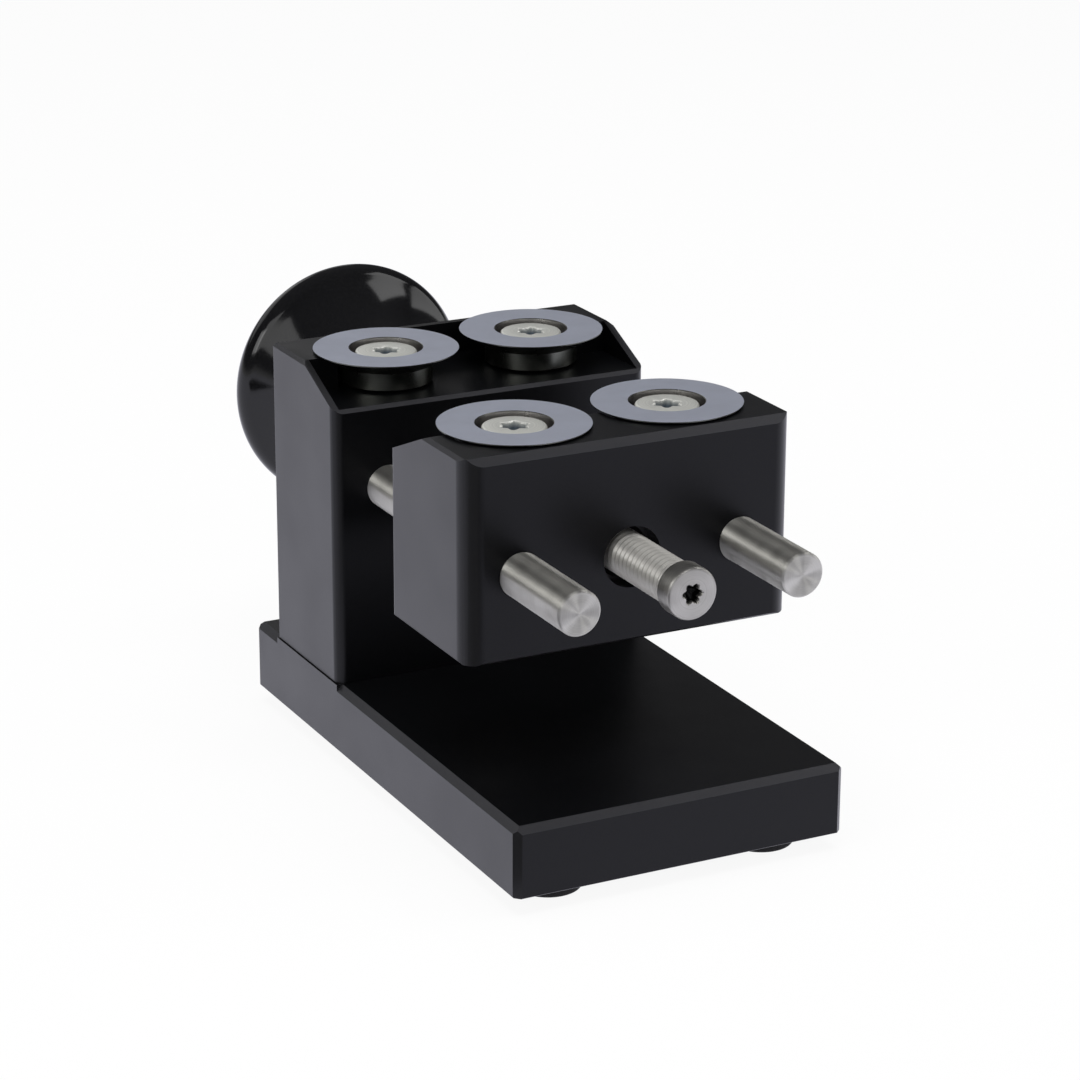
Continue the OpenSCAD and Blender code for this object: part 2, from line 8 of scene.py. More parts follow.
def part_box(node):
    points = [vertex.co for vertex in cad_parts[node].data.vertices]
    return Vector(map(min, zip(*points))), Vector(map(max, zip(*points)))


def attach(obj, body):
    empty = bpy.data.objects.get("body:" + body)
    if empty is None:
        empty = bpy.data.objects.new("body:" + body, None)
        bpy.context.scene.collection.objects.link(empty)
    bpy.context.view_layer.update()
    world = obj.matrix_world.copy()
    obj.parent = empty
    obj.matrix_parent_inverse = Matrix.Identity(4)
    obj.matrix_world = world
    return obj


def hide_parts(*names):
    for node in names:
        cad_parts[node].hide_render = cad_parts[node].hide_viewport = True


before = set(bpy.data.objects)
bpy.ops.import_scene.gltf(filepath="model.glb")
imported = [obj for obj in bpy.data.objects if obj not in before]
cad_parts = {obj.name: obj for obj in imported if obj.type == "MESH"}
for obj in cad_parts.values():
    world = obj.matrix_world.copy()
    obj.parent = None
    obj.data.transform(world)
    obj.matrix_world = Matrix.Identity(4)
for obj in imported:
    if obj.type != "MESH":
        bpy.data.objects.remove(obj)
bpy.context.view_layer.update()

# Base plate: a slab of aluminium, milled square with a small chamfer all round,
# bead blasted and anodised black. The upright jaw is screwed to its back end
# and the rubber feet are pressed into it from below.
mm = 0.001
plate_edge_break = 0.12 * mm
anodised_black, anodised_roughness = (0.0030, 0.0031, 0.0037), 0.34
oxide_ior, oxide_tint, seal_weight = 1.82, (0.07, 0.07, 0.08, 1), 0.2
# Edge tones of the oxide: partly rubbed wear, partly painted highlight on the chamfers.
worn_edge_and_highlight = (0.011, 0.011, 0.012)
bare_edge_and_highlight, bare_and_highlight_share = (0.050, 0.050, 0.055), 0.6
upward, downward, rearward, forward = (0, 0, 1), (0, 0, -1), (0, 1, 0), (0, -1, 0)


def effect_group(name, inputs, outputs):
    """An empty shader node group with named inputs and outputs."""
    group = bpy.data.node_groups.new(name, "ShaderNodeTree")
    for label, kind, value in inputs:
        socket = group.interface.new_socket(label, in_out="INPUT", socket_type=kind)
        if value is not None:
            socket.default_value = value
    for label, kind in outputs:
        group.interface.new_socket(label, in_out="OUTPUT", socket_type=kind)
    return group


def add_node(tree, kind, values=None, **settings):
    """A node with its settings, and with values on its unlinked inputs."""
    node = tree.nodes.new(kind)
    for key, value in settings.items():
        setattr(node, key, value)
    for key, value in (values or {}).items():
        node.inputs[key].default_value = value
    return node


def wire(tree, *pairs):
    """Links (node, output) to (node, input), pair after pair."""
    for (source, out), (target, entry) in pairs:
        tree.links.new(source.outputs[out], target.inputs[entry])


def scaled(colour, factor):
    """A colour made darker or lighter, but never past white."""
    return tuple(min(part * factor, 1) for part in colour)


def colour_ramp(tree, *stops):
    """A ramp through its (place, colour) stops."""
    ramp = add_node(tree, "ShaderNodeValToRGB")
    for stop, (place, colour) in zip(ramp.color_ramp.elements, (stops[0], stops[-1])):
        stop.position, stop.color = place, (*colour, 1)
    for place, colour in stops[1:-1]:
        ramp.color_ramp.elements.new(place).color = (*colour, 1)
    return ramp


def make_blasted_grain():
    """Fine pitted grain of a blasted surface: a tone and a bumped normal."""
    group = effect_group(
        "blasted grain",
        [("Grain size", "NodeSocketFloat", 4000.0), ("Depth", "NodeSocketFloat", 0.00001)],
        [("Tone", "NodeSocketFloat"), ("Cloud", "NodeSocketFloat"),
         ("Normal", "NodeSocketVector")],
    )
    start = add_node(group, "NodeGroupInput")
    end = add_node(group, "NodeGroupOutput")
    place = add_node(group, "ShaderNodeTexCoord")
    fine = add_node(group, "ShaderNodeTexNoise", {"Detail": 3.0, "Roughness": 0.6})
    cloud = add_node(group, "ShaderNodeTexNoise", {"Scale": 90.0, "Detail": 4.0})
    bump = add_node(group, "ShaderNodeBump", {"Strength": 1.0})
    wire(
        group,
        ((place, "Object"), (fine, "Vector")), ((start, "Grain size"), (fine, "Scale")),
        ((place, "Object"), (cloud, "Vector")),
        ((fine, "Fac"), (bump, "Height")), ((start, "Depth"), (bump, "Distance")),
        ((fine, "Fac"), (end, "Tone")), ((cloud, "Fac"), (end, "Cloud")),
        ((bump, "Normal"), (end, "Normal")),
    )
    return group


def make_milled_edges():
    """Masks of a milled block's edges, of all of them and of those that look up."""
    flat_from = 0.999
    group = effect_group(
        "milled edges",
        [("Softness", "NodeSocketFloat", 0.06)],
        [("Mask", "NodeSocketFloat"), ("Upper", "NodeSocketFloat")],
    )
    start = add_node(group, "NodeGroupInput")
    end = add_node(group, "NodeGroupOutput")
    place = add_node(group, "ShaderNodeTexCoord")
    size = add_node(group, "ShaderNodeVectorMath", operation="ABSOLUTE")
    split = add_node(group, "ShaderNodeSeparateXYZ")
    two = add_node(group, "ShaderNodeMath", operation="MAXIMUM")
    three = add_node(group, "ShaderNodeMath", operation="MAXIMUM")
    low = add_node(group, "ShaderNodeMath", {0: flat_from}, operation="SUBTRACT")
    span = add_node(group, "ShaderNodeMapRange",
                    {"To Min": 1.0, "To Max": 0.0, "From Max": flat_from})
    lean = add_node(group, "ShaderNodeSeparateXYZ")
    rise = add_node(group, "ShaderNodeMapRange", {"From Min": 0.2, "From Max": 0.5})
    upper = add_node(group, "ShaderNodeMath", operation="MULTIPLY")
    wire(
        group,
        ((place, "Normal"), (size, 0)), ((size, 0), (split, 0)),
        ((split, "X"), (two, 0)), ((split, "Y"), (two, 1)),
        ((two, 0), (three, 0)), ((split, "Z"), (three, 1)),
        ((start, "Softness"), (low, 1)), ((low, 0), (span, "From Min")),
        ((three, 0), (span, "Value")), ((span, "Result"), (end, "Mask")),
        ((place, "Normal"), (lean, 0)), ((lean, "Z"), (rise, "Value")),
        ((rise, "Result"), (upper, 0)), ((span, "Result"), (upper, 1)),
        ((upper, 0), (end, "Upper")),
    )
    return group


blasted_grain = make_blasted_grain()
milled_edges = make_milled_edges()


def new_finish(name, **sockets):
    """A material with one Principled shader and plain numbers on its sockets."""
    finish = bpy.data.materials.new(name)
    finish.use_nodes = True
    shader = finish.node_tree.nodes["Principled BSDF"]
    for key, value in sockets.items():
        shader.inputs[key.replace("_", " ")].default_value = value
    return finish, finish.node_tree, shader


def anodised(name):
    """Black anodised aluminium: dull grain, cloudy sheen, and lighter edges that are partly rubbed
    wear and partly painted highlight, lightest and metallic where they face up.
    """
    finish, tree, shader = new_finish(
        name, IOR=oxide_ior, Specular_Tint=oxide_tint,
        Coat_Weight=seal_weight, Coat_Roughness=anodised_roughness,
    )
    grain = add_node(tree, "ShaderNodeGroup", {"Grain size": 5200.0, "Depth": 0.000012},
                     node_tree=blasted_grain)
    edges = add_node(tree, "ShaderNodeGroup", {"Softness": 0.08}, node_tree=milled_edges)
    tones = colour_ramp(tree, (0.25, scaled(anodised_black, 0.8)),
                        (0.8, scaled(anodised_black, 1.35)))
    # Painted highlight with some wear: every edge lighter, and the upward-facing edges lighter
    # still and partly metallic.
    wear_and_highlight_mix = add_node(tree, "ShaderNodeMix", {"B": (*worn_edge_and_highlight, 1)}, data_type="RGBA")
    rubbed_and_highlight_mix = add_node(tree, "ShaderNodeMix", {"B": (*bare_edge_and_highlight, 1)}, data_type="RGBA")
    metallic_share = add_node(tree, "ShaderNodeMapRange", {"To Max": bare_and_highlight_share})
    sheen = add_node(tree, "ShaderNodeMapRange", {
        "From Min": 0.25, "From Max": 0.75,
        "To Min": anodised_roughness - 0.04, "To Max": anodised_roughness + 0.05,
    })
    wire(
        tree,
        ((grain, "Tone"), (tones, "Fac")), ((tones, "Color"), (wear_and_highlight_mix, "A")),
        ((edges, "Mask"), (wear_and_highlight_mix, "Factor")), ((wear_and_highlight_mix, "Result"), (rubbed_and_highlight_mix, "A")),
        ((edges, "Upper"), (rubbed_and_highlight_mix, "Factor")), ((rubbed_and_highlight_mix, "Result"), (shader, "Base Color")),
        ((edges, "Upper"), (metallic_share, "Value")), ((metallic_share, "Result"), (shader, "Metallic")),
        ((grain, "Cloud"), (sheen, "Value")), ((sheen, "Result"), (shader, "Roughness")),
        ((grain, "Normal"), (shader, "Normal")),
    )
    return finish


def merged_copy(node):
    """A node's solid as joined faces, with its flat faces made one again."""
    bm = bmesh.new()
    bm.from_mesh(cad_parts[node].data)
    bmesh.ops.remove_doubles(bm, verts=bm.verts, dist=0.001 * mm)
    bmesh.ops.dissolve_limit(
        bm, angle_limit=math.radians(0.4), use_dissolve_boundaries=False,
        verts=bm.verts, edges=bm.edges, delimit={"NORMAL"},
    )
    return bm


def add_piece(name, bm, finish, body, slot, *nodes, smooth_below=32):
    """Makes the piece's object, gives it its finish and lets it ride and replace."""
    mesh = bpy.data.meshes.new(name)
    bm.to_mesh(mesh)
    bm.free()
    for face in mesh.polygons:
        face.use_smooth = True
    mesh.set_sharp_from_angle(angle=math.radians(smooth_below))
    mesh.materials.append(finish)
    piece = bpy.data.objects.new(name, mesh)
    bpy.context.scene.collection.objects.link(piece)
    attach(piece, body)
    if nodes:
        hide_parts(*nodes)
    return piece


def break_edges(piece, width, above=28):
    """Rounds the edges that turn by more than so many degrees, to catch the light."""
    soft = piece.modifiers.new("broken edges", "BEVEL")
    soft.width = width
    soft.segments = 2
    soft.limit_method = "ANGLE"
    soft.angle_limit = math.radians(above)
    even = piece.modifiers.new("even faces", "WEIGHTED_NORMAL")
    even.weight = 100
    even.keep_sharp = True
    return piece


plate = add_piece("plate_body", merged_copy("base_plate"), anodised("plate anodising"), "frame",
                  "anodised_plate", "base_plate")
break_edges(plate, plate_edge_break)

# Base screws: two countersunk socket screws, black oxide on steel, put in from
# the underside to pull the upright jaw down on the plate.
oxide_black, oxide_brown = (0.016, 0.016, 0.018), (0.036, 0.031, 0.028)
sink_r, sink_shank_r, sink_key_r, sink_tip, sink_lead = 5.0, 2.5, 1.75, 0.5, 0.15
lobe_swing, cone_share = 0.14, 0.4


def ring_radius(shape, radius, angle):
    """Radius of a round, six-lobed or hexagonal ring at an angle."""
    if shape == "lobed":
        return radius * (1 - lobe_swing + lobe_swing * math.cos(6 * angle))
    if shape == "hex":
        turn = (angle + math.pi / 6) % (math.pi / 3) - math.pi / 6
        return radius * math.cos(math.pi / 6) / math.cos(turn)
    return radius


def ringed(rings, around=72):
    """A closed solid drawn up ring by ring along z, from (shape, radius, height)."""
    bm = bmesh.new()
    bmesh.ops.create_circle(bm, cap_ends=True, radius=1, segments=around)
    verts, edges = list(bm.verts), list(bm.edges)
    for step, (shape, radius, height) in enumerate(rings):
        if step:
            made = bmesh.ops.extrude_edge_only(bm, edges=edges)["geom"]
            verts = [v for v in made if isinstance(v, bmesh.types.BMVert)]
            edges = [e for e in made if isinstance(e, bmesh.types.BMEdge)
                     and all(v in verts for v in e.verts)]
        for v in verts:
            angle = math.atan2(v.co.y, v.co.x)
            reach = ring_radius(shape, radius * mm, angle)
            v.co = (reach * math.cos(angle), reach * math.sin(angle), height * mm)
    bmesh.ops.contextual_create(bm, geom=edges)
    bmesh.ops.recalc_face_normals(bm, faces=bm.faces)
    return bm


def hex_socket(key_r, top, lead, depth, cone):
    """Rings of a hexagon socket from a screw's top down, with a drilled cone below."""
    return [("hex", key_r, top - lead), ("hex", key_r, top - depth),
            ("hex", key_r * cone_share, top - depth - cone)]


def set_down(bm, where, facing):
    """Turns a piece drawn along z to face that way, and moves it into place."""
    turn = Vector(upward).rotation_difference(Vector(facing)).to_matrix().to_4x4()
    bmesh.ops.transform(bm, matrix=Matrix.Translation(Vector(where)) @ turn, verts=bm.verts)
    return bm


def into(bm, other):
    """Adds other's faces to bm, for a group of like pieces in one mesh."""
    held = bpy.data.meshes.new("held")
    other.to_mesh(held)
    other.free()
    bm.from_mesh(held)
    bpy.data.meshes.remove(held)
    return bm


def black_oxide(name):
    """Oiled black oxide on a steel screw, a little brown where it is thin."""
    finish, tree, shader = new_finish(name, Metallic=0.6)
    grain = add_node(tree, "ShaderNodeGroup", {"Grain size": 2600.0, "Depth": 0.00001},
                     node_tree=blasted_grain)
    tones = colour_ramp(tree, (0.3, oxide_black), (0.8, oxide_brown))
    sheen = add_node(tree, "ShaderNodeMapRange", {"To Min": 0.26, "To Max": 0.42})
    wire(
        tree,
        ((grain, "Cloud"), (tones, "Fac")), ((tones, "Color"), (shader, "Base Color")),
        ((grain, "Tone"), (sheen, "Value")), ((sheen, "Result"), (shader, "Roughness")),
        ((grain, "Normal"), (shader, "Normal")),
    )
    return finish


screw_black = black_oxide("black oxide")
low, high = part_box("base_screws")
sink_length = (high.z - low.z) / mm
sink_rows = [
    ("round", sink_shank_r - sink_tip, 0), ("round", sink_shank_r, sink_tip),
    ("round", sink_shank_r, sink_length - sink_r + sink_shank_r),
    ("round", sink_r, sink_length), ("hex", sink_key_r + sink_lead, sink_length),
]
sink_rows += hex_socket(sink_key_r, sink_length, lead=sink_lead, depth=2.0, cone=0.3)
sunk = bmesh.new()
for side in (low.x + sink_r * mm, high.x - sink_r * mm):
    into(sunk, set_down(ringed(sink_rows), (side, (low.y + high.y) / 2, high.z), downward))
add_piece("plate_screws", sunk, screw_black, "frame", "black_screw", "base_screws")

# Feet: four soft black rubber buttons with a rounded lower edge, pressed into
# round recesses in the plate's underside.
foot_round = 0.5
rubber_black, rubber_bloom = (0.013, 0.013, 0.013), (0.034, 0.033, 0.033)


def turned(profile, closed=False, around=96):
    """A solid of revolution about z from its (radius, height) points in mm."""
    bm = bmesh.new()
    points = [bm.verts.new((r * mm, 0, h * mm)) for r, h in profile]
    pairs = list(zip(points, points[1:])) + ([(points[-1], points[0])] if closed else [])
    edges = [bm.edges.new(pair) for pair in pairs]
    bmesh.ops.spin(
        bm, geom=points + edges, cent=(0, 0, 0), axis=(0, 0, 1), angle=math.tau,
        steps=around, use_merge=True, use_duplicate=False,
    )
    bmesh.ops.remove_doubles(bm, verts=bm.verts, dist=0.0005 * mm)
    bmesh.ops.recalc_face_normals(bm, faces=bm.faces)
    return bm


def arc(centre, radius, start, end, steps):
    """Points of an arc in the (radius, height) plane, angles in degrees."""
    out, up = centre
    turns = [math.radians(start + (end - start) * i / steps) for i in range(steps + 1)]
    return [(out + radius * math.cos(turn), up + radius * math.sin(turn)) for turn in turns]


def rubber(name):
    """Matt black rubber with a soft bloom and a moulded grain."""
    finish, tree, shader = new_finish(name, Specular_IOR_Level=0.3)
    grain = add_node(tree, "ShaderNodeGroup", {"Grain size": 1800.0, "Depth": 0.00003},
                     node_tree=blasted_grain)
    tones = colour_ramp(tree, (0, rubber_black), (1, rubber_bloom))
    sheen = add_node(tree, "ShaderNodeMapRange", {"To Min": 0.62, "To Max": 0.85})
    wire(
        tree,
        ((grain, "Cloud"), (tones, "Fac")), ((tones, "Color"), (shader, "Base Color")),
        ((grain, "Tone"), (sheen, "Value")), ((sheen, "Result"), (shader, "Roughness")),
        ((grain, "Normal"), (shader, "Normal")),
    )
    return finish


foot_rubber = rubber("foot rubber")
for corner in ("front_left", "front_right", "rear_left", "rear_right"):
    low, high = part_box("foot_" + corner)
    middle = (low + high) / 2
    foot_r, foot_top = (high.x - low.x) / 2 / mm, (high.z - low.z) / mm
    profile = [(0, 0), (foot_r - foot_round, 0)]
    profile += arc((foot_r - foot_round, foot_round), foot_round, -75, 0, steps=5)
    profile += [(foot_r, foot_top), (0, foot_top)]
    foot = set_down(turned(profile), (middle.x, middle.y, low.z), upward)
    add_piece("foot_" + corner + "_button", foot, foot_rubber, "frame", "foot_rubber",
              "foot_" + corner)

# Fixed jaw: an upright aluminium block, milled with hollows for its two rollers
# and bored for the guide pins and the spindle, then blasted and anodised.
jaw_edge_break = 0.12 * mm
jaw_finish = anodised("jaw anodising")
upright = add_piece("fixed_jaw_body", merged_copy("fixed_jaw"), jaw_finish, "frame",
                    "anodised_jaw", "fixed_jaw")
break_edges(upright, jaw_edge_break)

# Guide pins: two hardened steel pins, ground round and faced on a lathe, so
# their sides carry fine rings and their ends turning marks. Held from behind.
pin_steel = (0.62, 0.61, 0.565)
pin_chamfer, pin_edge_break = 0.25, 0.08 * mm


def make_turning_lines():
    """Fine rings left by turning or grinding, for a piece centred along z."""
    group = effect_group(
        "turning lines",
        [("Vector", "NodeSocketVector", None), ("Rings", "NodeSocketFloat", 9000.0),
         ("Depth", "NodeSocketFloat", 0.000004)],
        [("Tone", "NodeSocketFloat"), ("Patch", "NodeSocketFloat"),
         ("Normal", "NodeSocketVector")],
    )
    start = add_node(group, "NodeGroupInput")
    end = add_node(group, "NodeGroupOutput")
    flat = add_node(group, "ShaderNodeVectorMath", {1: (1, 1, 0)}, operation="MULTIPLY")
    out = add_node(group, "ShaderNodeVectorMath", operation="LENGTH")
    split = add_node(group, "ShaderNodeSeparateXYZ")
    along = add_node(group, "ShaderNodeMath", operation="ADD")
    lines = add_node(group, "ShaderNodeTexNoise", {"Detail": 4.0, "Roughness": 0.7},
                     noise_dimensions="1D")
    patch = add_node(group, "ShaderNodeTexNoise", {"Scale": 420.0, "Detail": 3.0})
    bump = add_node(group, "ShaderNodeBump", {"Strength": 1.0})
    wire(
        group,
        ((start, "Vector"), (flat, 0)), ((flat, 0), (out, 0)), ((start, "Vector"), (split, 0)),
        ((out, "Value"), (along, 0)), ((split, "Z"), (along, 1)), ((along, 0), (lines, "W")),
        ((start, "Rings"), (lines, "Scale")), ((start, "Vector"), (patch, "Vector")),
        ((lines, "Fac"), (bump, "Height")), ((start, "Depth"), (bump, "Distance")),
        ((lines, "Fac"), (end, "Tone")), ((patch, "Fac"), (end, "Patch")),
        ((bump, "Normal"), (end, "Normal")),
    )
    return group


turning_lines = make_turning_lines()


def turned_metal(name, colour, centre, axis, roughness, grooves, rings=9000.0, depth=0.000003,
                 metal=1.0):
    """Turned or ground metal: rings round its axis, with light spread across them."""
    finish, tree, shader = new_finish(name, Metallic=metal, Anisotropic=grooves,
                                      Anisotropic_Rotation=0.25)
    place = add_node(tree, "ShaderNodeTexCoord")
    about = Vector(axis).rotation_difference(Vector(upward)).to_euler()
    moved = add_node(tree, "ShaderNodeVectorMath", {1: tuple(centre)}, operation="SUBTRACT")
    turn = add_node(tree, "ShaderNodeMapping", {"Rotation": tuple(about)})
    marks = add_node(tree, "ShaderNodeGroup", {"Rings": rings, "Depth": depth},
                     node_tree=turning_lines)
    across = add_node(tree, "ShaderNodeVectorMath", {0: tuple(axis)}, operation="CROSS_PRODUCT")
    unit = add_node(tree, "ShaderNodeVectorMath", operation="NORMALIZE")
    tones = colour_ramp(tree, (0.3, scaled(colour, 0.86)), (0.75, scaled(colour, 1.1)))
    sheen = add_node(tree, "ShaderNodeMapRange", {
        "From Min": 0.3, "From Max": 0.7,
        "To Min": roughness * 0.85, "To Max": roughness * 1.2,
    })
    wire(
        tree,
        ((place, "Object"), (moved, 0)), ((moved, 0), (turn, "Vector")),
        ((turn, 0), (marks, "Vector")), ((moved, 0), (across, 1)), ((across, 0), (unit, 0)),
        ((unit, 0), (shader, "Tangent")),
        ((marks, "Tone"), (tones, "Fac")), ((tones, "Color"), (shader, "Base Color")),
        ((marks, "Patch"), (sheen, "Value")), ((sheen, "Result"), (shader, "Roughness")),
        ((marks, "Normal"), (shader, "Normal")),
    )
    return finish


for side in ("left", "right"):
    low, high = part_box("guide_pin_" + side)
    middle = (low + high) / 2
    pin_r, pin_l = (high.x - low.x) / 2 / mm, (high.y - low.y) / mm
    finish = turned_metal("ground pin steel " + side, pin_steel, middle, rearward,
                          roughness=0.46, grooves=0.97)
    pin = turned([(0, 0), (pin_r - pin_chamfer, 0), (pin_r, pin_chamfer),
                  (pin_r, pin_l - pin_chamfer), (pin_r - pin_chamfer, pin_l), (0, pin_l)])
    pin = set_down(pin, (middle.x, low.y, middle.z), rearward)
    piece = add_piece("guide_pin_" + side + "_rod", pin, finish, "frame", "turned_steel",
                      "guide_pin_" + side)
    break_edges(piece, pin_edge_break)

# Pin screws: two black cap screws with hexagon sockets, sunk in the back of the
# upright, which hold the guide pins.
cap_r, cap_h, cap_shank_r, cap_key_r, cap_tip, cap_land = 3.5, 4.0, 2.0, 1.73, 0.4, 0.35
cap_rim = [(0, 0.35), (0.12, 0.1), (0.4, 0)]
low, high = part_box("pin_screws")
cap_length = (high.y - low.y) / mm
cap_rows = [
    ("round", cap_shank_r - cap_tip, 0), ("round", cap_shank_r, cap_tip),
    ("round", cap_shank_r, cap_length - cap_h), ("round", cap_r, cap_length - cap_h),
]
cap_rows += [("round", cap_r - inset, cap_length - drop) for inset, drop in cap_rim]
cap_rows += [("round", cap_key_r + cap_land, cap_length)]
cap_rows += hex_socket(cap_key_r, cap_length, lead=0.25, depth=2.0, cone=0.3)
caps = bmesh.new()
for side in (low.x + cap_r * mm, high.x - cap_r * mm):
    into(caps, set_down(ringed(cap_rows), (side, low.y, (low.z + high.z) / 2), rearward))
add_piece("pin_cap_screws", caps, screw_black, "frame", "black_screw", "pin_screws")

# Spindle bush and thrust washers: turned bronze, pressed into and laid against
# the upright, so that the spindle runs smoothly and can't shift endways.
bronze = (0.50, 0.33, 0.14)
bush_bore_r, bush_edge_break = 4.05, 0.12 * mm
bush_low, bush_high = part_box("spindle_bush")
drive = (bush_low + bush_high) / 2
bronze_finish = turned_metal("turned bronze", bronze, drive, rearward, roughness=0.3, grooves=0.4)
for node in ("spindle_bush", "front_thrust_washer", "rear_thrust_washer"):
    low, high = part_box(node)
    out_r, thick = (high.x - low.x) / 2 / mm, (high.y - low.y) / mm
    ring = turned([(bush_bore_r, 0), (out_r, 0), (out_r, thick), (bush_bore_r, thick)],
                  closed=True)
    ring = set_down(ring, (drive.x, low.y, drive.z), rearward)
    piece = add_piece(node + "_ring", ring, bronze_finish, "frame", "bronze", node)
    break_edges(piece, bush_edge_break)

# Roller sleeves: four hardened steel tubes that stand on the seats. The screws
# clamp them, and the rollers turn round them.
sleeve_steel, sleeve_bore_r = (0.48, 0.48, 0.49), 2.6
rollers = [("rear_left", "frame"), ("rear_right", "frame"),
           ("front_left", "jaw"), ("front_right", "jaw")]
for spot, body in rollers:
    low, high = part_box("roller_sleeve_" + spot)
    middle = (low + high) / 2
    out_r, tall = (high.x - low.x) / 2 / mm, (high.z - low.z) / mm
    finish = turned_metal("sleeve steel " + spot, sleeve_steel, middle, upward,
                          roughness=0.28, grooves=0.5)
    tube = turned([(sleeve_bore_r, 0), (out_r, 0), (out_r, tall), (sleeve_bore_r, tall)],
                  closed=True)
    tube = set_down(tube, (middle.x, middle.y, low.z), upward)
    add_piece("sleeve_tube_" + spot, tube, finish, body, "sleeve_steel", "roller_sleeve_" + spot)

# Rollers: four hardened discs with a thin knife edge. The flat top is lapped to
# an even bluish grey, and the cone and barrel below it keep their turned finish,
# in a much darker steel that also stands for painted shade under the disc.
disc_steel, barrel_steel_and_shade = (0.68, 0.715, 0.83), (0.13, 0.135, 0.12)
bore_steel = (0.42, 0.405, 0.40)
knife_land, knife_angle, barrel_r, barrel_break = 0.15, 28.5, 6.4, 0.3
disc_bore_r, cbore_r, cbore_depth, cbore_break = 3.34, 5.05, 3.6, 0.08


def put_between(tree, shader, socket, mix):
    """Lets a shader's socket take a mix's result, whose A takes what fed it so far."""
    tree.links.new(shader.inputs[socket].links[0].from_socket, mix.inputs["A"])
    tree.links.new(mix.outputs["Result"], shader.inputs[socket])


def lapped_top(finish, colour, top, roughness, metal):
    """Changes a turned finish to an even lapped one on the faces above that height."""
    tree = finish.node_tree
    shader = tree.nodes["Principled BSDF"]
    place = add_node(tree, "ShaderNodeTexCoord")
    split = add_node(tree, "ShaderNodeSeparateXYZ")
    above = add_node(tree, "ShaderNodeMath", {1: top}, operation="GREATER_THAN")
    cloud = add_node(tree, "ShaderNodeTexNoise", {"Scale": 260.0, "Detail": 3.0})
    tones = colour_ramp(tree, (0.3, scaled(colour, 0.965)), (0.7, scaled(colour, 1.03)))
    paint = add_node(tree, "ShaderNodeMix", data_type="RGBA")
    gloss = add_node(tree, "ShaderNodeMix", {"B": roughness}, data_type="FLOAT")
    metallic_share = add_node(tree, "ShaderNodeMix", {"A": 1.0, "B": metal}, data_type="FLOAT")
    put_between(tree, shader, "Base Color", paint)
    put_between(tree, shader, "Roughness", gloss)
    wire(
        tree,
        ((place, "Object"), (split, 0)), ((split, "Z"), (above, 0)),
        ((place, "Object"), (cloud, "Vector")), ((cloud, "Fac"), (tones, "Fac")),
        ((tones, "Color"), (paint, "B")), ((above, 0), (paint, "Factor")),
        ((above, 0), (gloss, "Factor")), ((above, 0), (metallic_share, "Factor")),
        ((metallic_share, "Result"), (shader, "Metallic")),
    )


def make_recess_depth_mask():
    """A mask that grows with depth inside a recess on the z axis."""
    group = effect_group(
        "recess depth mask",
        [("Vector", "NodeSocketVector", None), ("Radius", "NodeSocketFloat", 0.002),
         ("Mouth", "NodeSocketFloat", 0.0), ("Floor", "NodeSocketFloat", -0.001)],
        [("Mask", "NodeSocketFloat")],
    )
    start = add_node(group, "NodeGroupInput")
    end = add_node(group, "NodeGroupOutput")
    flat = add_node(group, "ShaderNodeVectorMath", {1: (1, 1, 0)}, operation="MULTIPLY")
    out = add_node(group, "ShaderNodeVectorMath", operation="LENGTH")
    split = add_node(group, "ShaderNodeSeparateXYZ")
    within = add_node(group, "ShaderNodeMath", operation="LESS_THAN")
    deep = add_node(group, "ShaderNodeMapRange")
    both = add_node(group, "ShaderNodeMath", operation="MULTIPLY")
    wire(
        group,
        ((start, "Vector"), (flat, 0)), ((flat, 0), (out, 0)), ((start, "Vector"), (split, 0)),
        ((out, "Value"), (within, 0)), ((start, "Radius"), (within, 1)),
        ((split, "Z"), (deep, "Value")), ((start, "Mouth"), (deep, "From Min")),
        ((start, "Floor"), (deep, "From Max")), ((within, 0), (both, 0)),
        ((deep, "Result"), (both, 1)), ((both, 0), (end, "Mask")),
    )
    return group


recess_depth_mask = make_recess_depth_mask()


def recess_tone(finish, colour, radius, mouth, floor):
    """Gives a turned finish another tone inside a recess, deeper down the more: painted shade in
    the screws' key recesses, and a paler steel on the rollers' counterbore walls.
    """
    tree = finish.node_tree
    shader = tree.nodes["Principled BSDF"]
    turn = next(node for node in tree.nodes if node.bl_idname == "ShaderNodeMapping")
    shade = add_node(tree, "ShaderNodeGroup", {"Radius": radius, "Mouth": mouth, "Floor": floor},
                     node_tree=recess_depth_mask)
    paint = add_node(tree, "ShaderNodeMix", {"B": (*colour, 1)}, data_type="RGBA")
    put_between(tree, shader, "Base Color", paint)
    wire(tree, ((turn, 0), (shade, "Vector")), ((shade, "Mask"), (paint, "Factor")))


